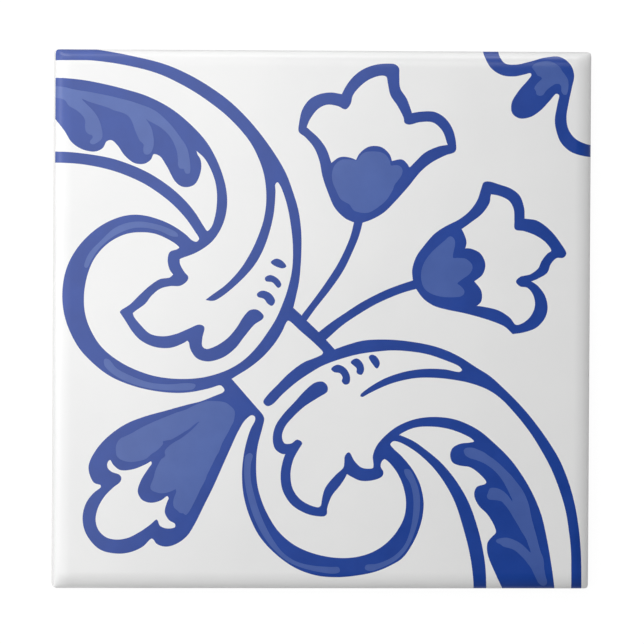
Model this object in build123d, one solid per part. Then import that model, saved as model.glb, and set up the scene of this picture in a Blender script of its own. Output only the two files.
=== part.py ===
from build123d import *
import os

# A square glazed wall tile, pressed and fired as one piece. It lies on its back.
# Millimetres. Origin: middle of the tile's footprint, on the plane it rests on.
# +Z points out of the glazed face, +X to the right and +Y to the top of the decoration.

# Overall sizes
side = 130.0
thickness = 8.0

# Outline: the small radius of the four upright corners
corner_radius = 0.9

# Cushion edge: the glazed face rolls down to the side walls as a quarter of an ellipse
cushion_width = 4.0
cushion_drop = 2.1

# Back: a bevelled arris, and a grid of shallow keying pockets inside a flat rim
back_arris = 0.5
rim_width = 7.0
rib_width = 2.5
pockets_per_row = 8
pocket_depth = 0.6
pocket_corner_radius = 1.5

node_name = "tile"


def cushion_section():
    """The tile's section across one pair of sides, in the XZ plane."""
    half = side / 2
    shoulder = thickness - cushion_drop
    crown_end = half - cushion_width
    outline = [
        Line((-half, 0), (half, 0)),
        Line((half, 0), (half, shoulder)),
        EllipticalCenterArc((crown_end, shoulder), cushion_width, cushion_drop, 0, arc_size=90),
        Line((crown_end, thickness), (-crown_end, thickness)),
        EllipticalCenterArc((-crown_end, shoulder), cushion_width, cushion_drop, 90, arc_size=90),
        Line((-half, shoulder), (-half, 0)),
    ]
    return Plane.XZ * make_face(Wire(outline).edges())


def cushioned_block():
    """The two sections crossed, so that all four edges roll down and meet in mitres."""
    along_y = extrude(cushion_section(), side / 2, both=True)
    along_x = along_y.rotate(Axis.Z, 90)
    rounded_outline = extrude(RectangleRounded(side, side, corner_radius), thickness)
    return along_y & along_x & rounded_outline


def keying_pockets():
    """Shallow square recesses in the back, which the bedding adhesive grips."""
    field = side - 2 * rim_width
    pitch = (field + rib_width) / pockets_per_row
    pocket = pitch - rib_width
    outline = RectangleRounded(pocket, pocket, pocket_corner_radius)
    grid = GridLocations(pitch, pitch, pockets_per_row, pockets_per_row)
    return [extrude(place * outline, pocket_depth) for place in grid]


def make_tile():
    block = cushioned_block()
    arris = block.faces().sort_by(Axis.Z)[0].outer_wire().edges()
    bevelled = chamfer(arris, back_arris)
    return bevelled - keying_pockets()


os.makedirs("parts", exist_ok=True)
tile = make_tile()
tile.label = node_name
export_step(tile, f"parts/{node_name}.step")
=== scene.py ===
import math

import bpy
import numpy as np
from mathutils import Matrix, Vector
from mathutils.geometry import delaunay_2d_cdt


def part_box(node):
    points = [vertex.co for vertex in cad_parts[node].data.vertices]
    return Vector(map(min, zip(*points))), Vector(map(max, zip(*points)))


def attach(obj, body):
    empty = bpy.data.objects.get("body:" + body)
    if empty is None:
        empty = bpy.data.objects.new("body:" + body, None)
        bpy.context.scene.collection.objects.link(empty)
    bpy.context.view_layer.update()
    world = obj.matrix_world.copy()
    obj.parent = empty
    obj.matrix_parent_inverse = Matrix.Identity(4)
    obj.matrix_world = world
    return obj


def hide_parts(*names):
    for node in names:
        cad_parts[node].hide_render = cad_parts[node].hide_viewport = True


# The looks of a square glazed wall tile with a blue scroll and tulip decoration.
# The tile lies on its back, glaze up, and the camera looks down on it.
# Shapes are worked out in millimetres and written to Blender in metres.

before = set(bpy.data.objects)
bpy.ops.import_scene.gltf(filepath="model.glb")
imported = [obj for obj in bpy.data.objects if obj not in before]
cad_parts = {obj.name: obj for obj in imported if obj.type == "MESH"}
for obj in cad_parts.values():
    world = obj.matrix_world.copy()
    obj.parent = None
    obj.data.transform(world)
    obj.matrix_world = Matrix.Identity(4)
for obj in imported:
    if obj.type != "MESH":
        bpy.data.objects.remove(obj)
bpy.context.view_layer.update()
tile_low, tile_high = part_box("tile")
METRE = 0.001

# Body, as in the CAD model
half = (tile_high[0] - tile_low[0]) / 2 / METRE
thickness = tile_high[2] / METRE
cushion_width = 4.0
cushion_drop = 2.1
shoulder = thickness - cushion_drop
crown = half - cushion_width
back_arris = 0.5
rim_width = 7.0
rib_width = 2.5
pockets_per_row = 8
pocket_depth = 0.6
pocket_corner_radius = 1.5

# The rim is a superellipse over the rolled edge, whose power sets how tight its corners are
corner_power = 10.0

# How finely the mesh is divided
roll_steps = 10
corner_steps = 10
pocket_corner_steps = 5
face_grid_lines = 25
weld_distance = 1e-5
sliver_area = 1e-9
tiny = 1e-6

# The glaze stops low on the side walls, at an uneven line made of waves round the tile.
# Each wave has its count, its share of the wander and its phase.
glaze_line_height = 0.8
glaze_line_wander = 0.1
glaze_line_waves = [(7, 1.0, 0.6), (17, 0.6, 2.1), (41, 0.4, 0.0)]

# The image that pixel coordinates below are read in
image_side = 644

# Camera: a long lens, almost square to the face, with the left side slightly nearer
camera_distance = 2548.0
camera_lens = 587.8
sensor_width = 36.0
camera_turn = math.radians(5.31)
camera_tip = math.radians(1.46)
camera_roll = math.radians(-0.32)
camera_aim_right = 0.422
camera_aim_up = -0.732

# Decoration. Each list is a smooth line, in pixels of the photograph, read off it.
# A shape's lists are joined end to end, with a corner where one meets the next.
# Lines that run off the tile go on past its edge and are cut there.

upper_band_outside = [
    (40, 45), (60, 46), (80, 47.5), (100, 50.3), (130, 55.8), (165, 64.6), (190, 75.5), (210, 87.3),
    (230, 102), (250, 121.8), (270, 147.4), (285, 172), (292, 190), (298, 210), (300.8, 230),
    (301.1, 250), (299, 280), (296, 295), (293, 308),
]
stem_one_left = [
    (301.6, 315.8), (315, 298.3), (327, 281.5), (337, 266), (345, 250.5), (351, 235.5), (354.3, 222.3),
]
tulip_one_left_petal = [
    (354.3, 222.3), (345, 217.8), (335, 207.5), (328.5, 193), (323, 177), (319.5, 160), (314, 147),
    (305, 136.5), (300, 132.8), (298.8, 130.5), (299.3, 124), (302.5, 110), (310, 99.5), (320, 94.4),
    (331, 92.8), (342, 94.5),
]
tulip_one_middle_petal = [
    (342, 94.5), (346.5, 86), (354, 76.5), (364, 69.2), (376, 65), (388, 63.9), (395, 64.6), (398.6, 68),
    (399, 76), (400, 88.5), (406.5, 99), (411.8, 113.3),
]
tulip_one_right_petal = [
    (411.8, 113.3), (422, 111.9), (434, 112.1), (444, 117.5), (452, 128.5), (455.7, 143), (455, 151.2),
    (445, 155.2), (431, 162.6), (420.5, 171.3), (408, 186.5), (396, 200), (384, 212), (372, 219),
    (362.3, 222.5),
]
stem_one_right = [
    (362.3, 222.5), (359, 235), (352.5, 251), (343, 270.5), (330, 289.5), (315, 308.5), (306.3, 320.7),
]
stem_two_upper = [
    (318.7, 332.5), (330, 323.7), (342, 315.5), (362, 302.5), (385, 290.8), (400, 285), (413.2, 280.6),
]
tulip_two_top_petal = [
    (413.2, 280.6), (412.5, 270), (416.5, 257), (425, 245), (435, 233.8), (445, 227), (460, 219.2),
    (470, 211), (477.5, 200.5), (481.6, 188.5), (484, 182.6), (489, 181.8), (499, 184.7), (511, 189),
    (519.5, 196), (523.8, 208), (524.3, 218.8),
]
tulip_two_middle_petal = [
    (524.3, 218.8), (537, 221), (550, 230.5), (561, 244.3), (566, 253.8), (563, 257.5), (556.5, 257.8),
    (550.5, 264), (547, 272.5), (538, 278.3), (530.8, 281.3),
]
tulip_two_right_petal = [
    (530.8, 281.3), (538, 286.5), (545, 296.5), (547.3, 309), (544, 319), (536, 327.5), (524, 332),
    (512.8, 333.8),
]
tulip_two_bottom_petal = [
    (512.8, 333.8), (505, 326.5), (491, 320.5), (467, 313.5), (447, 309.3), (434, 305.5), (423.5, 298.3),
    (416.2, 288.6),
]
stem_two_lower = [
    (416.2, 288.6), (404, 292), (390, 297.3), (374, 304.8), (357, 315), (342.1, 325.2), (325.6, 339.8),
]
lower_band_outside = [
    (334.6, 349.7), (347.9, 345), (363.3, 340.9), (384.6, 339.8), (405.9, 341.3), (430, 345.5),
    (446.5, 350.8), (460.8, 357.8), (475.3, 367.2), (489.8, 376.4), (503.3, 388.5), (516.9, 402),
    (528.5, 415), (540.1, 430), (550.6, 445.3), (559.7, 460.9), (567.6, 480.1), (573.9, 501.9),
    (578, 525.1), (580.4, 549.7), (581, 570), (580.9, 596),
]
lower_band_inside = [
    (571.3, 596), (571.6, 576.8), (571.2, 550.2), (569.5, 533.3), (565.8, 510.2), (559.5, 489),
    (551, 467.7), (539.5, 446.7), (529.9, 431.7), (515.3, 413.3), (500.6, 398), (487.9, 389.4),
    (470.5, 382.9), (453.2, 379.4), (436.8, 377.6), (417.5, 377.6), (403, 380), (388.5, 384.2),
    (373, 391.1), (366.2, 394.6), (362.4, 396.7), (360.6, 396.2), (360.8, 394.8), (365.2, 390.8),
    (375, 384.1), (385, 378.7), (395, 374.9), (407.8, 371.4), (425.2, 369.2), (444.5, 369.7),
    (459.8, 372.2), (462.3, 370.3), (459.8, 366.5), (445.5, 360), (427.1, 353.9), (411.7, 351.3),
    (393.3, 350.1), (373, 351.7), (357.5, 354.1), (341.1, 358.5), (322.7, 365.3), (308.6, 373.5),
    (296, 382.2), (282.5, 393.8), (271.8, 404.4), (267, 405.7), (263.6, 402), (267, 396.2),
    (277.6, 385.1), (289.2, 373.5), (303.7, 362.8), (315, 358.2), (322.6, 354.4), (323.4, 352.5),
    (316.3, 344.5), (299.9, 330), (290.2, 321.1), (287.8, 320.3), (286.3, 321.8), (282, 331),
    (275.2, 342.1), (263.1, 356.1), (249.6, 367.2), (237, 375.1), (231.2, 378.8),
]
lower_ring_inside = [
    (231.2, 378.8), (243.8, 393.3), (256.4, 407.8), (262.2, 414.6), (263.9, 418.5), (262.2, 427.1),
    (257.3, 446.5), (255.9, 461.8), (256.9, 484), (261.2, 500.4), (268, 515.9), (278.1, 531.4),
    (291.2, 543.3), (306.1, 551.2), (324.5, 556.5), (343, 558.4), (359.5, 556.7), (374, 551.7),
    (387, 543), (397.2, 531.4), (404.4, 517.3), (406.3, 501.9), (403.4, 485.9), (396.7, 471.4),
    (387.5, 460.5), (384.2, 458.8), (381.5, 461.3), (380.3, 466.6), (383.1, 472.2), (381.7, 476.3),
    (372, 480.1), (360.4, 480.3), (351, 476.1), (346.9, 473.7),
]
lower_leaf_line_outside = [
    (346.9, 473.7), (344.5, 478.2), (339.7, 485.4), (331.9, 495.1), (328.1, 503.8), (326.7, 509.5),
    (326.7, 513.5), (324.5, 515.8), (315.5, 515.6), (305.7, 513), (291.7, 504.3), (282.8, 489.8),
    (281, 474), (283.4, 460.3), (285.7, 454),
]
lower_leaf_line_inside = [
    (285.7, 454), (281.5, 453.4), (275.2, 448.4), (273.1, 437.8), (275.7, 426.2), (283.4, 414.6),
    (294.1, 403), (305.7, 390.4), (315, 383), (322.7, 382), (327, 386), (327.1, 391.2), (318.2, 397.2),
    (304.7, 405.9), (293.1, 416.5), (284.4, 427.1), (281.7, 436.8), (284.4, 443.6), (291.7, 443.6),
    (297.2, 439.9), (301.9, 442.9), (298.9, 448.4), (293.1, 459.4), (290.2, 473.9), (292.6, 489.3),
    (300.8, 500.2), (312.4, 506.4), (319, 507.5), (321.2, 505.5), (322.4, 498.5), (325.6, 487.9),
    (335.8, 475.3), (343.6, 467.8), (344.6, 463), (345.2, 456.1), (348.8, 452.6), (354.3, 461.3),
    (360.9, 467.6), (368.2, 469.1), (373.2, 468.2), (373.8, 465), (373.2, 456), (376.9, 446),
    (384.6, 436.8), (395.2, 428.1), (407.8, 421.8), (421.3, 418.2), (436.8, 417.3), (451.3, 418.9),
    (463.7, 422.8), (479.2, 431), (493.7, 443.1), (509.6, 458.9), (521.7, 475.3), (532.3, 493.7),
    (541, 514.9), (546.3, 537.6), (550.5, 561.3), (553.6, 583.6), (554.6, 596),
]
lower_leaf_edge = [
    (505.5, 596), (502.2, 587.6), (496.1, 574.4), (489.1, 557.9), (487.2, 548.8), (488.2, 542),
    (492.7, 536.5), (496.1, 532.8), (495.1, 527), (487.9, 514.5), (478.4, 504.6), (474.5, 494.6),
    (477, 487.2), (485.4, 484.2), (486.6, 482), (480.1, 474), (470.5, 467.1), (458.9, 465),
    (452.7, 462.1), (450.5, 455.2), (452.7, 448.4), (459.8, 444.2), (470.5, 442.8), (474.3, 441.6),
    (472.4, 438.9), (461.8, 433.1), (446.5, 428.1), (430, 426.2), (414.6, 427.4), (402, 432.7),
    (398.6, 435.1),
]
lower_second_line_upper = [
    (398.6, 435.1), (402, 436.3), (413.6, 441.6), (429.1, 452.8), (441.6, 463.7), (455.2, 480.1),
    (467.6, 500.9), (475.3, 521.2), (481.6, 544.9), (485.2, 568.1), (486, 596),
]
lower_second_line_and_ring_outside = [
    (474, 596), (473.4, 577.8), (470, 553.6), (463.7, 528.5), (455.6, 503.3), (446.5, 485.4),
    (434.4, 468.5), (419.4, 454), (409.7, 447.2), (400.1, 442.1), (393.3, 440.9), (390, 444.2),
    (393.3, 448.9), (401, 456.1), (411.7, 469), (419.4, 483.5), (423.2, 500.9), (422.8, 512.5),
    (420.4, 524.1), (414.1, 540.1), (402.5, 557.5), (389.9, 565.4), (374.9, 571.5), (357.5, 575.1),
    (336.3, 576.9), (315.5, 574.9), (295, 567.4), (276.2, 554.1), (260.2, 536.7), (250.1, 516.9),
    (243.8, 494.6), (242.3, 475), (243.2, 460.8), (245.7, 446.5), (250.6, 430), (255.4, 420.2),
    (255.2, 416.6), (252, 414.8), (245.3, 419.4), (238, 431), (230.8, 446.5), (222.5, 465.1),
    (213.3, 485.9), (204.2, 504.3), (193.5, 525.6), (186.3, 536.2), (175.5, 543.9), (165.3, 546.3),
    (156.6, 543.4), (154.2, 539.9), (151.8, 538.1), (149.4, 539.6), (142.6, 546.3), (130.1, 551.9),
    (116, 553.2), (99.1, 548.6), (86.2, 533.3), (82.9, 517.8), (86.1, 503.8), (93.3, 493.7),
    (101.2, 487.1), (101, 485), (94.3, 482.5), (89.8, 473.9), (88.9, 466.5), (90.9, 459.5), (99.1, 446.3),
    (110.7, 434.7), (126.2, 424.2), (143.6, 417.2), (166.8, 410.7), (187.7, 404.9), (200.3, 401.8),
    (214.8, 396.2), (223.8, 392.1), (224.7, 389.6), (221.6, 385.5), (219, 385), (210, 387.8),
    (189.7, 391.9), (173.6, 392.5), (151.3, 390), (128.6, 384), (108.8, 375), (90.1, 360), (77.4, 345),
    (66, 320), (62.6, 295), (67, 268), (80, 245), (100, 226.7), (120, 217.3), (135, 215), (150, 217),
    (170, 224.5), (185, 234.3), (192.5, 241), (196.8, 242), (199.4, 238.8), (195, 231), (185, 216.8),
    (170, 201.5), (150, 186.8), (135, 178.8), (115, 171), (95, 166), (75, 163.2), (50, 162.2),
    (40, 162.2),
]
upper_second_line_upper = [
    (40, 152), (65, 152.1), (85, 154), (110, 158.3), (130, 164.8), (150, 174), (170, 187.3), (185, 200.9),
    (195, 213), (203.5, 226.5), (207.3, 231.3), (211.5, 227.5), (214, 221.5), (216.8, 208), (217, 190),
    (213.5, 175), (205, 158.5), (196, 150),
]
upper_leaf_edge = [
    (196, 150), (197, 154), (200.3, 160), (200.7, 170), (195.5, 183), (190, 186.3), (182, 186.2),
    (175.5, 181.3), (167, 166), (160, 155.9), (153.5, 153.9), (151, 158.8), (145, 163.2), (135, 162.9),
    (125, 155.3), (117.5, 144.8), (111.5, 139.8), (106.5, 141), (102.5, 147.8), (95, 151.2), (82, 148.8),
    (72, 142), (65, 131), (56.5, 120), (48, 109),
]
upper_leaf_line_outside = [
    (40, 78.3), (63, 78.3), (85, 80.6), (105, 84.5), (125, 89.5), (145, 95.6), (165, 105.2), (180, 115.5),
    (200, 134.5), (210, 147.8), (220, 168.5), (226, 190), (226.5, 208), (222, 225.5), (212, 241),
    (197, 251.8), (180, 258.6), (179.3, 259.3),
]
upper_leaf_line_inside = [
    (179.3, 259.3), (179.7, 264), (184, 272), (188, 277), (187, 280.5), (180.5, 285.3), (170, 285.8),
    (160, 288.5), (151, 295.8), (145, 303.5), (135, 310.8), (132.5, 313),
]
upper_leaf_line_curl = [
    (132.5, 313), (133.5, 316.5), (140.7, 325.6), (150.4, 334.3), (163.9, 336.6), (176.5, 334.1),
    (187.7, 329.5), (199.3, 324.9), (203.9, 327), (202, 338.2), (202, 346.4), (206.1, 349.3),
    (214.8, 346.9), (227.4, 338.7), (237, 327.6), (243.8, 316.9), (250, 310.5), (257, 310), (263.4, 316),
    (262.3, 318.8), (254.4, 324.2), (243.8, 336.8), (235.1, 347.9), (222.5, 357.3), (207.1, 361.1),
    (196.4, 357.5), (190.6, 348.8), (189, 341.9), (187.5, 340.4), (183.9, 342.5), (170.7, 347.4),
    (155.2, 346.7), (141.7, 340.6), (133.4, 332.4), (125.2, 319.8), (120, 312),
]
upper_leaf_line_return = [
    (120, 312), (121.5, 310.3), (130, 304.8), (140, 295), (150, 286), (160, 279.5), (170, 277.7),
    (173.5, 274.5),
]
upper_ring_inside = [
    (173.5, 274.5), (170, 269.5), (168, 260), (170, 252.3), (177, 249.6), (179.6, 247.6), (177.5, 245),
    (170, 239.9), (155, 233.4), (140, 231.9), (125, 234), (108, 243), (95, 257), (87.7, 273), (83.7, 295),
    (85.3, 316), (92.9, 335), (104, 350), (124.8, 365), (149.4, 375), (167.8, 378.5), (190, 379.1),
    (208, 376.7), (228.3, 369.9), (243.8, 360.4), (257.3, 346.9), (269.9, 329.5), (276.3, 319),
    (281.3, 308), (287.5, 291), (292.3, 270), (293.3, 250), (291.8, 230), (287, 203.5), (280, 184.5),
    (277.5, 181.9), (275.1, 184), (275.2, 192), (273, 216), (265, 244.5), (255, 263.8), (240, 280.8),
    (220, 297.3), (213, 300.5), (206, 299.8),
]
upper_band_inside = [
    (206, 299.8), (212.5, 295), (226, 285), (240, 270), (249.7, 255), (257, 240), (263.9, 220),
    (266.6, 200), (265, 178), (260, 161), (250, 141.3), (230, 118.3), (210, 102), (190, 88.8), (165, 76),
    (150, 70.6), (135, 66.8), (120, 63.8), (105, 61.5), (90, 60), (75, 59.8), (40, 60),
]
scroll_figure = [
    upper_band_outside, stem_one_left, tulip_one_left_petal, tulip_one_middle_petal,
    tulip_one_right_petal, stem_one_right, stem_two_upper, tulip_two_top_petal,
    tulip_two_middle_petal, tulip_two_right_petal, tulip_two_bottom_petal, stem_two_lower,
    lower_band_outside, lower_band_inside, lower_ring_inside, lower_leaf_line_outside,
    lower_leaf_line_inside, lower_leaf_edge, lower_second_line_upper,
    lower_second_line_and_ring_outside, upper_second_line_upper, upper_leaf_edge,
    upper_leaf_line_outside, upper_leaf_line_inside, upper_leaf_line_curl, upper_leaf_line_return,
    upper_ring_inside, upper_band_inside,
]
corner_flower = [
    [
        (480, 40), (481.5, 46), (485.5, 58), (491.5, 68), (502, 74.8), (514, 76.1), (525, 74),
        (530.5, 72.8), (531.8, 75), (528, 80.5), (519, 91), (512, 103), (512.5, 113), (519.5, 118),
        (530, 116.8), (540, 110.5), (550, 100), (556, 93.5), (559.3, 94.8), (557.8, 104), (555.2, 119),
        (556, 128), (561, 142), (571, 151.5), (585, 156), (597, 157),
    ],
    [
        (597, 146.5), (585, 144), (575, 138.8), (568, 129), (566.2, 117), (568.5, 102), (571.5, 88),
        (573.8, 75), (570, 64.5), (560, 57.3), (546, 57.7), (530, 62), (516, 64.9), (505, 63.7),
        (499.3, 56.5), (497, 46), (496, 40),
    ],
]

# White reserves inside the blue
tulip_one_reserve = [
    [
        (306.3, 127.3), (309.5, 119.5), (318, 108.6), (327, 104.4), (338, 105.8), (345.5, 109),
        (350.2, 104), (352.5, 95.5), (359, 87), (369, 79.3), (381, 75.3), (386.5, 76.5), (388.3, 84),
        (390.8, 95), (398, 106), (404, 118), (404.8, 122.5), (409, 124.3), (420, 121.8), (433, 122.2),
        (442.5, 130.5), (448, 145),
    ],
    [
        (448, 145), (438, 147), (425, 153), (414.5, 163), (409.5, 167.5), (407, 164), (402, 159.8),
        (391.7, 161.3),
    ],
    [(391.7, 161.3), (389.3, 154.5), (381, 147.3), (369, 147), (360, 153.5), (356.2, 160.2)],
    [(356.2, 160.2), (349, 157.7), (340, 157.5), (331.2, 163.3)],
    [(331.2, 163.3), (326, 149), (319, 139), (311, 131.5), (306.3, 127.3)],
]
tulip_two_reserve = [
    [(461.3, 229), (471, 222), (482, 213.3), (489.3, 202.5), (490.3, 196), (491, 193.9)],
    [
        (491, 193.9), (500, 195.7), (509.5, 200.8), (514, 209), (514.7, 221), (515.3, 229), (524, 230.8),
        (536, 235.3), (546.5, 242.8), (551.5, 251), (548, 253.5), (542, 261), (538.5, 268.5),
        (530.5, 274.5), (520, 277.3), (516.3, 281.5), (520, 286), (527.5, 287.5), (533.5, 295),
        (535.2, 306), (530.5, 317), (521, 324.3), (515.5, 325), (510, 318.3), (499, 311), (486, 307.5),
        (476.5, 306),
    ],
    [(476.5, 306), (481, 301), (481, 291), (474, 281.3)],
    [(474, 281.3), (482.5, 274), (485, 264), (480, 253.5), (470, 248.8), (465, 248.6)],
    [(465, 248.6), (466.2, 242), (463.8, 234), (461.3, 229)],
]
bud_reserve = [
    (110.2, 459.6), (113.6, 464.7), (120.4, 469.7), (133, 468.9), (146.5, 463.5), (151.1, 461),
    (152.1, 463.4), (148.9, 468.3), (141.2, 480.6), (138.1, 491.7), (142.2, 499.5), (150.8, 502.4),
    (160.5, 500.2), (167.3, 495.8), (169, 498), (167.3, 502.4), (165.1, 512), (169.2, 519.8),
    (175.3, 523.8), (175.2, 527.4), (166.8, 528.8), (159.5, 525.8), (157.6, 521), (156.6, 519.8),
    (150.4, 524.9), (139.7, 532.3), (128.1, 538.1), (116.5, 539.9), (105.9, 537.5), (98, 529.9),
    (95.3, 519.8), (97.5, 508.2), (104, 496.6), (113.2, 487.1), (120, 481.6), (121, 477.8), (119.2, 475),
    (111.2, 471.9), (107.3, 467.8), (107.2, 462.5),
]

# Short dashes beside the bands
upper_dashes = [
    [(271, 262.3), (276, 259), (282, 261), (286, 266.5), (282.5, 268), (273.5, 264.8)],
    [(265.2, 278), (270, 275.3), (278, 279.3), (281, 285), (278.5, 287.7), (272.5, 282), (266, 280.8)],
    [
        (257.2, 294), (262, 291), (270, 293.5), (274.8, 301), (272, 305.5), (268, 303.5), (264, 298.5),
        (258, 296.5),
    ],
]
lower_dashes = [
    [
        (331.4, 369), (337.2, 365), (345, 368.2), (349.5, 375.9), (348.8, 383.2), (345, 384.3),
        (342, 381), (343, 377.8), (340.1, 373), (334.3, 371.8),
    ],
    [
        (351, 362.2), (356.6, 358.7), (361.9, 362.8), (363.8, 369.6), (361.4, 374.5), (357, 372.8),
        (356.9, 368.2),
    ],
    [(369.1, 356.8), (372, 354.9), (376.9, 357.5), (379.5, 363.8), (376.9, 368.2), (373.5, 364.8)],
]

# Paler blue washes inside the dark lines
upper_leaf_wash = [
    (44, 87), (65, 87.2), (70, 88.5), (80, 90.5), (90, 92), (100, 94), (110, 96), (120, 98.5), (130, 101),
    (140, 104.3), (150, 108), (157, 112), (163, 117), (170, 124), (175, 130), (180, 137), (184, 142.5),
    (187, 148), (189, 156), (190, 163), (190.3, 170), (189.5, 173.3), (186, 173.5), (184.5, 171),
    (184, 169), (180, 168.5), (178.3, 166), (178, 160), (177, 152), (174.5, 144.5), (171, 138),
    (166, 132), (160, 127), (153, 123), (146, 119), (144, 116.5), (148, 122), (151.5, 128.5), (153, 135),
    (153.8, 141), (153, 148), (150.5, 153), (148, 154.5), (145, 154.2), (143.5, 152), (143.3, 148),
    (143.8, 145), (142.5, 143), (140, 141), (138, 137), (135, 130), (133, 124), (130, 118), (126, 114.3),
    (120, 112), (114, 110.3), (109, 108), (100, 105), (90, 102), (82, 99), (87, 104.5), (92, 109.5),
    (96, 114.5), (99.5, 121), (101.5, 128), (102.5, 135), (101.5, 139), (98, 142), (94.5, 144),
    (92, 144.2), (90, 143), (90.3, 140.5), (92.5, 138), (92.3, 135.5), (88.5, 134), (86, 131.5),
    (85, 127), (85.2, 121), (84, 117.5), (80, 113), (75, 109.3), (70, 106.5), (67.5, 104), (65.5, 100.8),
    (61, 98.5), (44, 96.5),
]
upper_ring_wash_above = [
    (84.5, 267), (85, 262), (90, 252), (101, 240.5), (114, 228.5), (127, 223), (140, 221.6), (153, 223.5),
    (166, 227.3), (177, 233.2), (178, 236.3), (172, 236.3), (160, 231), (147, 228), (134, 228),
    (121, 232.3), (110, 238.8), (98, 250), (91.5, 260), (87, 267.8),
]
upper_ring_wash_below = [
    (104.5, 359), (108.8, 359.5), (116.5, 368.2), (131, 375.9), (148.4, 382.2), (166.8, 384.3),
    (190, 383.2), (195.5, 384.8), (193.5, 388.8), (171.6, 390.4), (147.5, 388), (128.1, 382.2),
    (113.6, 374.5), (104.5, 365.3),
]
tulip_one_wash = [
    (332.3, 180), (332, 174), (333, 169), (335, 165), (338.5, 161.5), (343, 159.5), (348, 159.3),
    (353, 160), (357, 160.2), (359, 157.5), (361.5, 154.5), (365, 152.3), (370, 151.5), (376, 151.5),
    (381, 152.3), (385, 154.3), (388, 157.5), (390, 161.5), (391, 165.5), (394, 165.3), (398, 165.3),
    (401, 167), (402.5, 170), (402.2, 173.5), (400.5, 177), (397.5, 181), (394.5, 185), (393, 189.5),
    (391, 193), (388, 198), (384, 202.5), (379, 206.5), (374, 210), (369, 212.5), (364, 213), (358, 212),
    (354, 210.5), (351.5, 207.5), (349.5, 204.5), (345, 202), (341, 199.3), (338.5, 195.5), (336, 190),
    (333.5, 184.5),
]
tulip_two_wash = [
    (451, 236.3), (453.5, 238), (455, 241), (455, 245), (454, 250), (453, 255), (453.3, 258),
    (457, 257.8), (460, 258), (465, 258.5), (469, 261), (472, 264.5), (472.5, 268.5), (471, 272),
    (468, 275.3), (464, 278), (460, 281), (457.3, 283.5), (460, 285.5), (463, 288.5), (464.5, 291.5),
    (463.5, 294.5), (461, 296.3), (457, 297), (450, 297.3), (444, 297), (438, 296), (432, 294),
    (427, 291), (423.5, 287), (421.5, 281), (421, 275), (421.8, 269), (424, 263), (427, 258), (431, 253),
    (435.5, 248.5), (440, 244.5), (445, 240.3), (448.5, 237),
]
corner_flower_wash = [
    (532, 67.3), (533.5, 64.8), (537, 62.8), (541, 61.7), (547, 61), (552, 62), (556, 64), (560, 67.5),
    (562.5, 71.5), (565.5, 75.5), (568, 80), (568.5, 86), (567.8, 91), (566.5, 94.5), (563.5, 94.5),
    (561.5, 91.5), (561.2, 86.5), (559.5, 84.2), (555.5, 84), (552, 86), (548.5, 88.5), (545.5, 91.5),
    (543, 95), (539.5, 95.8), (536.5, 94.3), (536, 91), (534.3, 88.5), (536, 85), (538.5, 82),
    (542, 78.5), (541, 76.8), (537.8, 75.8), (536, 73), (534, 70),
]
bud_wash = [
    (116, 451.3), (116, 446.5), (117.5, 442.1), (120.4, 438.7), (126.2, 435.8), (132, 433.1),
    (139.7, 428.6), (147.5, 424.7), (157.1, 420.4), (166.8, 416.5), (176.5, 412.6), (185.8, 409.7),
    (192.6, 406.3), (200.3, 403), (206.1, 401.3), (211.9, 401), (222.5, 401.8), (226.4, 403),
    (230.3, 405.9), (233.7, 409.2), (234.9, 412.6), (234.4, 417.5), (233.7, 421.3), (231.2, 426.2),
    (228.3, 432), (224.5, 438.7), (221.6, 444.5), (218.7, 452.3), (216.3, 456), (214.3, 460.3),
    (211.9, 465.1), (209.5, 470), (207.1, 474.8), (205.6, 479.2), (203.2, 484), (200.3, 489.3),
    (197.9, 494.6), (195.5, 499.5), (193.1, 504.3), (191.1, 508.2), (189.5, 511), (187.6, 513.5),
    (186.1, 514.9), (184.7, 514.5), (183.2, 513.2), (181.3, 513.2), (179.4, 512.5), (177.9, 510.9),
    (176, 509.3), (174.2, 507.7), (173.4, 505.3), (173.2, 502.4), (173.6, 499.5), (174.3, 497),
    (175.5, 494.2), (176.3, 491.2), (175.5, 489), (174.1, 489.8), (171.6, 491), (168.7, 492.1),
    (165.4, 492.9), (162, 493.3), (158.6, 492.9), (155.2, 491.9), (152.3, 490.6), (150.7, 488.8),
    (150.4, 486.9), (151.1, 484), (152.5, 480.6), (153.8, 477.2), (154.7, 473.4), (155.7, 470),
    (157.1, 466.6), (158.6, 463.7), (160.2, 460.8), (161.9, 458.7), (164.4, 457.1), (165.3, 455.2),
    (164.7, 452.3), (165.8, 449.4), (169.7, 445.5), (174.5, 442.1), (180.3, 438.9), (185.8, 434.9),
    (190.6, 431), (195.5, 426.2), (199.3, 421.5), (194.5, 424.4), (189.7, 428.6), (184.8, 431.5),
    (180.3, 434.4), (174.5, 437.8), (170.7, 439.7), (165.8, 440.5), (162.7, 441.6), (163.1, 443.6),
    (161, 446.5), (157.1, 450.3), (151.3, 454.2), (147.5, 457.7), (144.6, 459.4), (140.7, 460.6),
    (136.3, 461.4), (132, 461.9), (127.6, 461.7), (124.3, 460.9), (120.9, 459.6), (118.5, 457.9),
    (116.8, 455.8),
]
lower_ring_wash_left = [
    (245, 458), (245.9, 455.2), (250.1, 453), (252.6, 455), (250.8, 464.7), (250.8, 479.2),
    (253.9, 493.7), (258.5, 509.1), (264.6, 524.1), (271.8, 537.6), (283, 552.6), (296, 561.3),
    (312.4, 565.5), (330.5, 567), (338.7, 567.4), (339.8, 571.5), (335.3, 573.6), (320.8, 572.3),
    (300.8, 567.4), (285.4, 559.9), (269.4, 544.4), (257.8, 526), (249.3, 503.3), (244.8, 481.6),
    (244.1, 468),
]
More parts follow.
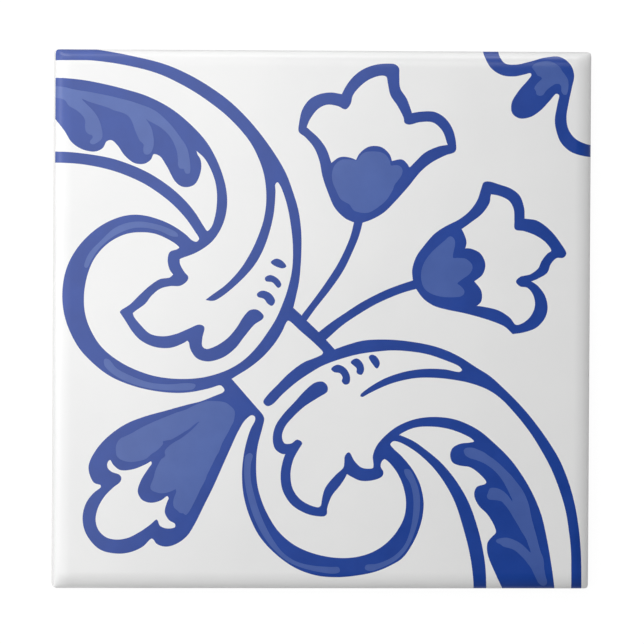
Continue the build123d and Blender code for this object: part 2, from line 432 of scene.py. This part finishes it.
lower_ring_wash_right = [
    (404.4, 469.5), (404.9, 474.3), (410.5, 484.5), (413.3, 498.5), (412.9, 515), (409.7, 532.3),
    (403.9, 545.9), (393.3, 556.5), (377.8, 563.5), (365.8, 565.3), (365, 569), (370.1, 571),
    (383.6, 566.8), (397.6, 558.9), (407.8, 547.3), (415.3, 530.4), (419.4, 513), (419.6, 494.6),
    (415.3, 479.7), (409.3, 469.5),
]
lower_leaf_wash = [
    (463.7, 450.3), (465.1, 448.4), (468.5, 447.6), (473.4, 447.9), (478.2, 449.8), (484, 452.3),
    (487.9, 455.2), (492.7, 458.4), (497.5, 462.2), (502.4, 466.6), (506.7, 471), (511.1, 475.3),
    (514.9, 480.1), (518.8, 485), (522.2, 489.8), (525.1, 495.1), (527.5, 500.9), (529.4, 507.2),
    (530.6, 513.5), (532.1, 520.3), (533.8, 526.5), (535.7, 533.3), (537.5, 540.1), (539.1, 546.3),
    (540.8, 552.2), (543, 557.5), (543.9, 562.8), (544.2, 568.1), (545.1, 573.9), (546.3, 578.7),
    (547.1, 582.1), (546.3, 584.5), (544.4, 585.7), (541.5, 585.3), (538.6, 583.1), (536.7, 579.7),
    (534.8, 575.8), (532.8, 571.5), (530.4, 567.1), (527.5, 563.3), (524.1, 558.9), (520.3, 555.1),
    (515.9, 551.2), (511.5, 548.8), (506.7, 547.5), (502.9, 546.3), (500, 543.9), (497, 542.8),
    (495.8, 541), (496.6, 539.6), (499, 538.6), (502.4, 537.9), (506.2, 537.6), (510.1, 538.4),
    (514, 539.9), (518.3, 542), (522.2, 544.7), (525.6, 547.8), (528, 550.2), (529.4, 551.7),
    (530.6, 552.6), (529.9, 548.8), (528.5, 545.4), (527, 540.6), (524.6, 536.2), (521.7, 531.8),
    (518.8, 526.5), (515.9, 521.7), (513, 516.9), (510.1, 512), (507.2, 507.7), (504.3, 504.3),
    (501.4, 501.4), (497.5, 500.4), (492.7, 499.9), (489.3, 499.5), (487.4, 498), (486.9, 495.6),
    (487.9, 493.2), (488.8, 490.3), (489.8, 488.4), (492.7, 487.7), (496.6, 488.1), (500, 489.3),
    (503.3, 491.2), (506.7, 494.2), (509.1, 497), (511.1, 499.9), (512.5, 501.6), (512.2, 499.5),
    (510.6, 496.1), (508.6, 491.7), (506.2, 486.9), (503.8, 482.6), (500.9, 478.2), (497.5, 473.9),
    (493.7, 470), (489.3, 466.6), (484.5, 463.5), (479.6, 461.3), (474.8, 459.6), (470.5, 458.4),
    (467.6, 456.9), (465.6, 455.5), (464.2, 452.8),
]

washes = [
    upper_leaf_wash, upper_ring_wash_above, upper_ring_wash_below, tulip_one_wash, tulip_two_wash,
    corner_flower_wash, bud_wash, lower_ring_wash_left, lower_ring_wash_right, lower_leaf_wash,
]

# How far apart, in pixels, a drawn line is sampled, and how far its paint spreads outwards
sample_step = 1.6
paint_spread = 0.35

# Working limits of the two searches below
surface_passes = 6
points_at_once = 500


def smooth_line(points, closed=False):
    """A centripetal Catmull-Rom curve through the points, sampled about once a step."""
    points = np.array(points, float)
    if closed:
        before, after = points[-1:], points[:2]
    else:
        before, after = 2 * points[:1] - points[1:2], 2 * points[-1:] - points[-2:-1]
    chain = np.vstack([before, points, after])
    samples = []
    for a, b, c, d in zip(chain, chain[1:], chain[2:], chain[3:]):
        gaps = [max(np.linalg.norm(q - p), tiny) ** 0.5 for p, q in ((a, b), (b, c), (c, d))]
        start = gaps[1] * ((b - a) / gaps[0] - (c - a) / (gaps[0] + gaps[1]) + (c - b) / gaps[1])
        end = gaps[1] * ((c - b) / gaps[1] - (d - b) / (gaps[1] + gaps[2]) + (d - c) / gaps[2])
        count = max(1, round(np.linalg.norm(c - b) / sample_step))
        t = np.arange(count)[:, None] / count
        samples.append(
            (2 * t**3 - 3 * t**2 + 1) * b + (t**3 - 2 * t**2 + t) * start
            + (3 * t**2 - 2 * t**3) * c + (t**3 - t**2) * end
        )
    if not closed:
        samples.append(points[-1:])
    return np.vstack(samples)


def outline_of(shape, spread):
    """A closed outline in pixels, moved outwards by the spread of its paint.
    The shape is one smooth loop of points, or several lists joined at corners."""
    if isinstance(shape[0], tuple):
        outline = smooth_line(shape, closed=True)
    else:
        outline = np.vstack([smooth_line(line) for line in shape])
        ahead = np.roll(outline, -1, axis=0)
        outline = outline[np.linalg.norm(outline - ahead, axis=1) > tiny]
    x, y = outline.T
    turned = np.sign(np.sum(x * np.roll(y, -1) - y * np.roll(x, -1)))
    along = np.roll(outline, -1, axis=0) - np.roll(outline, 1, axis=0)
    along /= np.maximum(np.linalg.norm(along, axis=1, keepdims=True), tiny)
    return outline + spread * turned * np.stack([along[:, 1], -along[:, 0]], axis=1)


def camera_axes():
    """The camera's right, up and back directions, looking down on the tile."""
    back = Vector((
        -math.sin(camera_turn) * math.cos(camera_tip),
        math.sin(camera_tip),
        math.cos(camera_turn) * math.cos(camera_tip),
    ))
    right = Vector((0, 1, 0)).cross(back).normalized()
    up = back.cross(right)
    cos_roll, sin_roll = math.cos(camera_roll), math.sin(camera_roll)
    return cos_roll * right - sin_roll * up, sin_roll * right + cos_roll * up, back


def camera_place():
    right, up, back = camera_axes()
    return back * camera_distance + right * camera_aim_right + up * camera_aim_up


def over_edge(x, y):
    """How far over the rolled edge a point is in each direction, 0 on the flat and 1 at the rim."""
    return [np.clip((np.abs(v) - crown) / cushion_width, 0, 1) for v in (x, y)]


def surface_height(x, y):
    """Two quarter-ellipse rolls, multiplied, so that they blend into each other at the corners."""
    over_x, over_y = over_edge(x, y)
    return shoulder + cushion_drop * np.sqrt((1 - over_x**2) * (1 - over_y**2))


def surface_normals(x, y):
    over_x, over_y = over_edge(x, y)
    rest_x, rest_y = (np.sqrt(np.maximum(1 - over**2, tiny)) for over in (over_x, over_y))
    steepest = cushion_drop / cushion_width
    steep_x = steepest * over_x * rest_y / rest_x
    steep_y = steepest * over_y * rest_x / rest_y
    normals = np.stack([np.sign(x) * steep_x, np.sign(y) * steep_y, np.ones_like(steep_x)], axis=-1)
    return normals / np.linalg.norm(normals, axis=-1, keepdims=True)


def rim_directions(x, y):
    """Which way is out at points on the rim."""
    over_x, over_y = (over ** (corner_power - 1) for over in over_edge(x, y))
    out = np.stack([np.sign(x) * over_x, np.sign(y) * over_y], axis=1)
    return out / np.linalg.norm(out, axis=1, keepdims=True)


def on_tile(pixels):
    """Where the camera's rays through these pixels meet the glazed surface.
    A few passes settle the height, because it changes along the rolled edge."""
    right, up, back = (np.array(v) for v in camera_axes())
    place = np.array(camera_place())
    focal = camera_lens / sensor_width * image_side
    across = (pixels[:, :1] - image_side / 2) / focal
    above = (image_side / 2 - pixels[:, 1:]) / focal
    rays = right * across + up * above - back
    height = np.full((len(pixels), 1), thickness)
    for _ in range(surface_passes):
        hits = place + rays * (height - place[2]) / rays[:, 2:]
        height = surface_height(hits[:, :1], hits[:, 1:2])
    return hits[:, :2]


def inside(outline, points):
    """Which points lie inside a closed outline, by counting the sides that a ray crosses."""
    found = np.zeros(len(points), bool)
    low, high = outline.min(axis=0), outline.max(axis=0)
    near = np.flatnonzero(((points > low) & (points < high)).all(axis=1))
    x0, y0 = outline.T
    x1, y1 = np.roll(outline, -1, axis=0).T
    rise = np.where(y1 == y0, 1, y1 - y0)
    for some in np.array_split(near, max(1, len(near) // points_at_once)):
        x, y = points[some].T[:, :, None]
        crossed = ((y0 > y) != (y1 > y)) & (x < (x1 - x0) * (y - y0) / rise + x0)
        found[some] = crossed.sum(axis=1) % 2 == 1
    return found


def four_corners(corner):
    """One corner's points, repeated round a square, in order."""
    quarter_turn = np.array([[0, 1], [-1, 0]])
    loop = [corner]
    for _ in range(3):
        loop.append(loop[-1] @ quarter_turn)
    return np.vstack(loop)


def ring_at(share):
    """A loop round the rolled edge, at one share of the way over it, in order."""
    turns = np.radians(np.linspace(0, 90, corner_steps + 1))
    over_x = share * cushion_width * np.cos(turns) ** (2 / corner_power)
    over_y = share * cushion_width * np.abs(np.sin(turns)) ** (2 / corner_power)
    return four_corners(np.stack([crown + over_x, crown + over_y], axis=1))


def triangles_between(loops, loose_points):
    """Triangles that keep every side of the loops as an edge, wound anticlockwise.
    Sides that lie wholly off the tile are left out."""
    points = np.vstack([*loops, loose_points])
    near = (np.abs(points) < half + 1).all(axis=1)
    sides = []
    first = 0
    for loop in loops:
        at = first + np.arange(len(loop))
        ends = np.roll(at, -1)
        kept = near[at] | near[ends]
        sides += list(zip(at[kept].tolist(), ends[kept].tolist()))
        first += len(loop)
    flat = [Vector(p) for p in points.tolist()]
    made, _, faces, came_from, _, _ = delaunay_2d_cdt(flat, sides, [], 0, weld_distance)
    made = np.array([v[:] for v in made])
    faces = np.array([f[:] for f in faces])
    a, b, c = (made[faces[:, i]] for i in range(3))
    area = (b[:, 0] - a[:, 0]) * (c[:, 1] - a[:, 1]) - (b[:, 1] - a[:, 1]) * (c[:, 0] - a[:, 0])
    faces[area < 0] = faces[area < 0][:, ::-1]
    return made, faces[np.abs(area) > sliver_area], came_from


def open_edges(faces):
    """The edges that only one triangle has, each in its triangle's direction."""
    edges = np.vstack([faces[:, [0, 1]], faces[:, [1, 2]], faces[:, [2, 0]]])
    there = {tuple(e) for e in edges.tolist()}
    return np.array([e for e in edges.tolist() if (e[1], e[0]) not in there])


# Paint numbers, in the order of the mesh's materials
WHITE, LINE, WASH, BISCUIT = range(4)

# Places in the texture map, as shares of its side: the face, the side walls' strips and the back.
# A strip is chosen by whether its wall faces down or up its axis.
face_scale = 0.87 / (2 * half)
strip_starts = {-1: 0.885, 1: 0.942}
back_corner, back_scale = 0.885, 0.11 / (2 * half)
back_drawn_in = 0.004


class Skin:
    """Gathers the tile's points and faces, with each face's paint, normals and map places."""

    def __init__(self):
        self.points = []
        self.faces = []
        self.paints = []
        self.normals = []
        self.places = []

    def add_points(self, points):
        first = len(self.points)
        self.points.extend(np.asarray(points).tolist())
        return np.arange(first, len(self.points))

    def add_faces(self, faces, paints, places, normals=None):
        corners = np.array(self.points)[faces]
        if normals is None:
            flat = np.cross(corners[:, 1] - corners[:, 0], corners[:, 2] - corners[:, 1])
            flat /= np.linalg.norm(flat, axis=1, keepdims=True)
            normals = np.repeat(flat[:, None], faces.shape[1], axis=1)
        self.faces.extend(faces.tolist())
        self.paints.extend(np.broadcast_to(paints, len(faces)).tolist())
        self.normals.append(normals.reshape(-1, 3))
        self.places.append(places.reshape(-1, 2))

    def make_object(self, name, materials):
        mesh = bpy.data.meshes.new(name)
        mesh.from_pydata((np.array(self.points) * METRE).tolist(), [], self.faces)
        for material in materials:
            mesh.materials.append(material)
        mesh.polygons.foreach_set("material_index", self.paints)
        mesh.polygons.foreach_set("use_smooth", [True] * len(self.faces))
        layer = mesh.uv_layers.new(name="OFBake")
        layer.data.foreach_set("uv", np.vstack(self.places).ravel())
        mesh.normals_split_custom_set(np.vstack(self.normals).tolist())
        made = bpy.data.objects.new(name, mesh)
        bpy.context.scene.collection.objects.link(made)
        return made


def face_places(points):
    return (points[..., :2] + half) * face_scale


def back_places(points):
    """The back's places in the map. What is deeper is drawn in a little, so that walls have width."""
    drawn_in = points[..., :2] * (1 - back_drawn_in * points[..., 2:])
    return back_corner + (drawn_in + half) * back_scale


def decoration():
    """Every painted outline on the tile with its paint, in the order that it was laid on."""
    lines = [scroll_figure, corner_flower, *upper_dashes, *lower_dashes]
    reserves = [tulip_one_reserve, tulip_two_reserve, bud_reserve]
    layers = [(LINE, paint_spread, shape) for shape in lines]
    layers += [(WHITE, -paint_spread, shape) for shape in reserves]
    layers += [(WASH, 0, shape) for shape in washes]
    return [(paint, on_tile(outline_of(shape, spread))) for paint, spread, shape in layers]


def add_glazed_face(skin):
    """The flat face and the rolled edge, cut along every line of the decoration."""
    layers = decoration()
    drawn = [outline for _, outline in layers]
    shares = np.sin(np.radians(np.linspace(90, 0, roll_steps + 1)))
    rings = [ring_at(share) for share in shares[:-1]]
    crown_square = np.array([(crown, crown), (-crown, crown), (-crown, -crown), (crown, -crown)])
    even = np.linspace(-crown, crown, face_grid_lines)[1:-1]
    grid = np.stack(np.meshgrid(even, even), axis=-1).reshape(-1, 2)
    flat, faces, _ = triangles_between([*drawn, *rings, crown_square], grid)
    faces = faces[inside(rings[0], flat[faces].mean(axis=1))]
    used, faces = np.unique(faces, return_inverse=True)
    flat, faces = flat[used], faces.reshape(-1, 3)
    x, y = flat.T
    points = np.stack([x, y, surface_height(x, y)], axis=1)
    skin.add_points(points)
    corners = points[faces]
    normals = surface_normals(corners[..., 0], corners[..., 1])
    paints = np.full(len(faces), WHITE)
    for paint, outline in layers:
        paints[inside(outline, corners.mean(axis=1)[:, :2])] = paint
    skin.add_faces(faces, paints, face_places(corners), normals)
    return points, open_edges(faces)


def wall_places(a, b, quads):
    """Map places of the walls' faces, in two strips beside the face and two above it."""
    middle = (a + b) / 2
    facing = np.where(np.abs(middle[:, 0]) > np.abs(middle[:, 1]), 0, 1)
    places = np.empty((*quads.shape[:2], 2))
    for axis in (0, 1):
        for side, start in strip_starts.items():
            faces = (facing == axis) & (side * middle[:, axis] > 0)
            places[faces, :, axis] = start + quads[faces, :, 2] * face_scale
            places[faces, :, 1 - axis] = (quads[faces, :, 1 - axis] + half) * face_scale
    return places


def add_walls(skin, rim, edges):
    """The side walls under the rim: glaze, bare biscuit below it, and the bevelled arris."""
    at_rim = np.unique(edges)
    x, y = rim[at_rim, :2].T
    out = rim_directions(x, y)
    bearing = np.arctan2(y, x)
    wander = sum(share * np.sin(count * bearing + phase) for count, share, phase in glaze_line_waves)
    glaze_line = glaze_line_height + glaze_line_wander * wander
    levels = [at_rim]
    for height, inset in ((glaze_line, 0), (back_arris, 0), (0, back_arris)):
        place = np.stack([x, y], axis=1) - inset * out
        levels.append(skin.add_points(np.column_stack([place, np.broadcast_to(height, x.shape)])))
    order = np.full(len(rim), -1)
    order[at_rim] = np.arange(len(at_rim))
    a, b = order[edges].T
    upright = np.column_stack([out, np.zeros(len(out))])
    for upper, lower, paint in zip(levels, levels[1:], (WHITE, BISCUIT, BISCUIT)):
        quads = np.stack([upper[a], lower[a], lower[b], upper[b]], axis=1)
        normals = np.stack([upright[a], upright[a], upright[b], upright[b]], axis=1)
        if lower is levels[-1]:
            normals = (normals - np.array([0, 0, 1])) / math.sqrt(2)
        corners = np.array(skin.points)[quads]
        skin.add_faces(quads, paint, wall_places(rim[edges[:, 0]], rim[edges[:, 1]], corners), normals)
    return levels[-1], np.stack([levels[-1][a], levels[-1][b]], axis=1)


def pocket_loop(centre, pocket):
    """A keying pocket's rounded outline, anticlockwise."""
    turns = np.radians(np.linspace(0, 90, pocket_corner_steps + 1))
    reach = pocket / 2 - pocket_corner_radius
    corner = reach + pocket_corner_radius * np.stack([np.cos(turns), np.sin(turns)], axis=1)
    return four_corners(corner) + centre


def add_back(skin, bottom, edges):
    """The flat back inside the arris, with its grid of shallow keying pockets."""
    field = 2 * (half - rim_width)
    pitch = (field + rib_width) / pockets_per_row
    pocket = pitch - rib_width
    steps = (np.arange(pockets_per_row) - (pockets_per_row - 1) / 2) * pitch
    centres = np.stack(np.meshgrid(steps, steps), axis=-1).reshape(-1, 2)
    loops = [pocket_loop(centre, pocket) for centre in centres]
    following = dict(edges.tolist())
    rim_order = [int(edges[0][0])]
    while following[rim_order[-1]] != rim_order[0]:
        rim_order.append(following[rim_order[-1]])
    rim = np.array(skin.points)[rim_order][:, :2]
    flat, faces, came_from = triangles_between([rim, *loops], np.empty((0, 2)))
    mouths = [skin.add_points(np.column_stack([loop, np.zeros(len(loop))])) for loop in loops]
    known = np.concatenate([rim_order, *mouths])
    index = known[[sources[0] for sources in came_from]]
    middles = flat[faces].mean(axis=1)
    open_back = ~np.any([inside(loop, middles) for loop in loops], axis=0)
    faces = index[faces[open_back]][:, ::-1]
    all_points = np.array(skin.points)
    skin.add_faces(faces, BISCUIT, back_places(all_points[faces]))
    for loop, mouth, centre in zip(loops, mouths, centres):
        ceiling = skin.add_points(np.column_stack([loop, np.full(len(loop), pocket_depth)]))
        middle = skin.add_points([(*centre, pocket_depth)])
        walls = np.stack([mouth, ceiling, np.roll(ceiling, -1), np.roll(mouth, -1)], axis=1)
        fan = np.stack([np.repeat(middle, len(loop)), np.roll(ceiling, -1), ceiling], axis=1)
        all_points = np.array(skin.points)
        for group in (walls, fan):
            skin.add_faces(group, BISCUIT, back_places(all_points[group]))


# Sizes of the surface noises, in features to a metre
gloss_scale = 90
ripple_scale = 260
mottle_scale = 500
matt_scale = 1500
grain_scale = 2200


def node(tree, kind, inputs=None, **settings):
    """A new node with these settings, and these values on its inputs."""
    made = tree.nodes.new(kind)
    for name, value in settings.items():
        setattr(made, name, value)
    set_inputs(made, inputs or {})
    return made


def set_inputs(made, inputs):
    for name, value in inputs.items():
        made.inputs[name].default_value = value


def link(source, target):
    source.id_data.links.new(source, target)


def noise(tree, scale, detail=2.0):
    """Soft noise in the object's own space. The scale is in features to a metre."""
    place = node(tree, "ShaderNodeTexCoord")
    made = node(tree, "ShaderNodeTexNoise", {"Scale": scale, "Detail": detail})
    link(place.outputs["Object"], made.inputs["Vector"])
    return made.outputs["Fac"]


def between(tree, share, low, high):
    """A colour or number that runs from low to high as a noise goes from 0.35 to 0.65."""
    spread = node(tree, "ShaderNodeMapRange", {"From Min": 0.35, "From Max": 0.65})
    link(share, spread.inputs["Value"])
    if not isinstance(low, tuple):
        set_inputs(spread, {"To Min": low, "To Max": high})
        return spread.outputs["Result"]
    mix = node(tree, "ShaderNodeMix", {"A": (*low, 1), "B": (*high, 1)}, data_type="RGBA")
    link(spread.outputs["Result"], mix.inputs["Factor"])
    return mix.outputs["Result"]


def bump(tree, height, strength, depth):
    made = node(tree, "ShaderNodeBump", {"Strength": strength, "Distance": depth})
    link(height, made.inputs["Height"])
    return made.outputs["Normal"]


def axes_of(tree, space):
    """The x, y and z of each point, or of each direction in the world."""
    place = node(tree, "ShaderNodeTexCoord")
    split = node(tree, "ShaderNodeSeparateXYZ")
    link(place.outputs[space], split.inputs[0])
    return split.outputs


def new_material(name):
    material = bpy.data.materials.new(name)
    material.use_nodes = True
    return material, material.node_tree, material.node_tree.nodes["Principled BSDF"]


def glaze(name, colours, cloud_scale):
    """A glossy glaze over a slightly cloudy colour, with a faint ripple in its surface."""
    material, tree, shader = new_material(name)
    link(between(tree, noise(tree, cloud_scale, 4), *colours), shader.inputs["Base Color"])
    link(between(tree, noise(tree, gloss_scale), 0.33, 0.37), shader.inputs["Roughness"])
    set_inputs(shader, {"IOR": 1.5, "Coat Weight": 0.7, "Coat Roughness": 0.17, "Coat IOR": 1.5})
    ripple = bump(tree, noise(tree, ripple_scale, 3), strength=0.25, depth=0.00004)
    link(ripple, shader.inputs["Normal"])
    link(ripple, shader.inputs["Coat Normal"])
    return material


def biscuit():
    """Bare fired clay: pale, matt and slightly grainy."""
    material, tree, shader = new_material("bare_biscuit")
    colours = (0.76, 0.71, 0.65), (0.84, 0.80, 0.74)
    link(between(tree, noise(tree, mottle_scale, 6), *colours), shader.inputs["Base Color"])
    link(between(tree, noise(tree, matt_scale), 0.82, 0.95), shader.inputs["Roughness"])
    grain = bump(tree, noise(tree, grain_scale, 5), strength=0.6, depth=0.00008)
    link(grain, shader.inputs["Normal"])
    return material


def make_tile():
    materials = [
        glaze("white_glaze", ((0.868, 0.869, 0.868), (0.890, 0.890, 0.887)), 45),
        glaze("cobalt_line", ((0.005, 0.046, 0.298), (0.008, 0.054, 0.332)), 160),
        glaze("cobalt_wash", ((0.054, 0.109, 0.376), (0.064, 0.125, 0.410)), 120),
        biscuit(),
    ]
    skin = Skin()
    rim, rim_edges = add_glazed_face(skin)
    bottom, bottom_edges = add_walls(skin, rim, rim_edges)
    add_back(skin, bottom, bottom_edges)
    tile = skin.make_object("glazed_tile", materials)
    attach(tile, "root")
    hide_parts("tile")


def make_floor():
    """A white floor that still takes the tile's shadow.
    Reflections see it nearly white to the left of the tile, and fading out under it."""
    reach, just_below = 4.0, -0.0001
    fade_start, fade_end, mirrored_white = -0.06, -0.04, 0.75
    mesh = bpy.data.meshes.new("floor")
    corners = [(-reach, -reach, 0), (reach, -reach, 0), (reach, reach, 0), (-reach, reach, 0)]
    mesh.from_pydata(corners, [], [(0, 1, 2, 3)])
    floor = bpy.data.objects.new("floor", mesh)
    floor.location.z = just_below
    bpy.context.scene.collection.objects.link(floor)
    material, tree, _ = new_material("white_floor")
    tree.nodes.clear()
    path = node(tree, "ShaderNodeLightPath")
    lit = node(tree, "ShaderNodeBsdfDiffuse", {"Color": (0.6, 0.6, 0.6, 1)})
    shadowed = node(tree, "ShaderNodeBsdfDiffuse", {"Color": (0.14, 0.14, 0.14, 1)})
    glow = node(tree, "ShaderNodeEmission", {"Strength": 0.93})
    white = node(tree, "ShaderNodeAddShader")
    link(shadowed.outputs[0], white.inputs[0])
    link(glow.outputs[0], white.inputs[1])
    x, _, _ = axes_of(tree, "Object")
    to_left = spread_over(tree, x, fade_start, fade_end, mirrored_white, 0)
    mirrored = combine(tree, "MULTIPLY", path.outputs["Is Glossy Ray"], to_left)
    choose = node(tree, "ShaderNodeMixShader")
    link(combine(tree, "MAXIMUM", path.outputs["Is Camera Ray"], mirrored), choose.inputs["Fac"])
    link(lit.outputs[0], choose.inputs[1])
    link(white.outputs[0], choose.inputs[2])
    output = node(tree, "ShaderNodeOutputMaterial")
    link(choose.outputs[0], output.inputs["Surface"])
    mesh.materials.append(material)


def add_soft_box(name, place, width, height, radiance):
    """A rectangular lamp that faces the tile. Radiance 1 looks white."""
    lamp = bpy.data.lights.new(name, "AREA")
    lamp.shape = "RECTANGLE"
    lamp.size = width
    lamp.size_y = height
    lamp.energy = radiance * math.pi * width * height
    box = bpy.data.objects.new(name, lamp)
    box.location = place
    box.rotation_euler = Vector(place).to_track_quat("Z", "Y").to_euler()
    box.visible_camera = False
    bpy.context.scene.collection.objects.link(box)


def spread_over(tree, value, low, high, at_low, at_high):
    """A number that runs smoothly from one value to another as its input goes from low to high."""
    ends = {"From Min": low, "From Max": high, "To Min": at_low, "To Max": at_high}
    made = node(tree, "ShaderNodeMapRange", ends, interpolation_type="SMOOTHSTEP")
    link(value, made.inputs["Value"])
    return made.outputs["Result"]


def combine(tree, operation, first, second):
    made = node(tree, "ShaderNodeMath", operation=operation)
    link(first, made.inputs[0])
    link(second, made.inputs[1])
    return made.outputs["Value"]


def make_world(horizon, mirrored_left, mirrored_above):
    """A plain room, pale round the horizon and dark overhead.
    Reflections see pale walls only to the left of the picture and above it.
    The walls' ranges are heights and places on a sphere of radius 1."""
    walls_end, ceiling_start = 0.55, 0.9
    far_side, near_side = 0.9, 0.1
    world = bpy.data.worlds.new("room")
    bpy.context.scene.world = world
    world.use_nodes = True
    tree = world.node_tree
    background = tree.nodes["Background"]
    x, y, z = axes_of(tree, "Generated")
    fade = spread_over(tree, z, walls_end, ceiling_start, 1, 0)
    left_wall = spread_over(tree, x, -far_side, near_side, mirrored_left, 0)
    upper_wall = spread_over(tree, y, -near_side, far_side, 0, mirrored_above)
    path = node(tree, "ShaderNodeLightPath")
    choose = node(tree, "ShaderNodeMix", {"A": horizon}, data_type="FLOAT")
    link(path.outputs["Is Glossy Ray"], choose.inputs["Factor"])
    link(combine(tree, "MAXIMUM", left_wall, upper_wall), choose.inputs["B"])
    background.inputs["Color"].default_value = (1, 1, 1, 1)
    link(combine(tree, "MULTIPLY", fade, choose.outputs["Result"]), background.inputs["Strength"])


def make_camera():
    data = bpy.data.cameras.new("camera")
    data.lens = camera_lens
    data.sensor_width = sensor_width
    data.clip_start = 0.1
    data.clip_end = 20
    camera = bpy.data.objects.new("camera", data)
    axes = Matrix(camera_axes()).transposed()
    camera.matrix_world = Matrix.Translation(camera_place() * METRE) @ axes.to_4x4()
    bpy.context.scene.collection.objects.link(camera)
    bpy.context.scene.camera = camera


make_tile()
make_floor()
make_world(horizon=0.61, mirrored_left=1.5, mirrored_above=1.6)
add_soft_box("overhead_light", place=(-0.13, 0.07, 0.25), width=0.43, height=0.38, radiance=1.52)
add_soft_box("left_light", place=(-0.9, 0.05, 0.12), width=1.2, height=0.5, radiance=0.5)
add_soft_box("upper_light", place=(-0.05, 0.80, 0.67), width=1.0, height=0.25, radiance=1.6)
make_camera()
bpy.context.scene.view_settings.view_transform = "Standard"
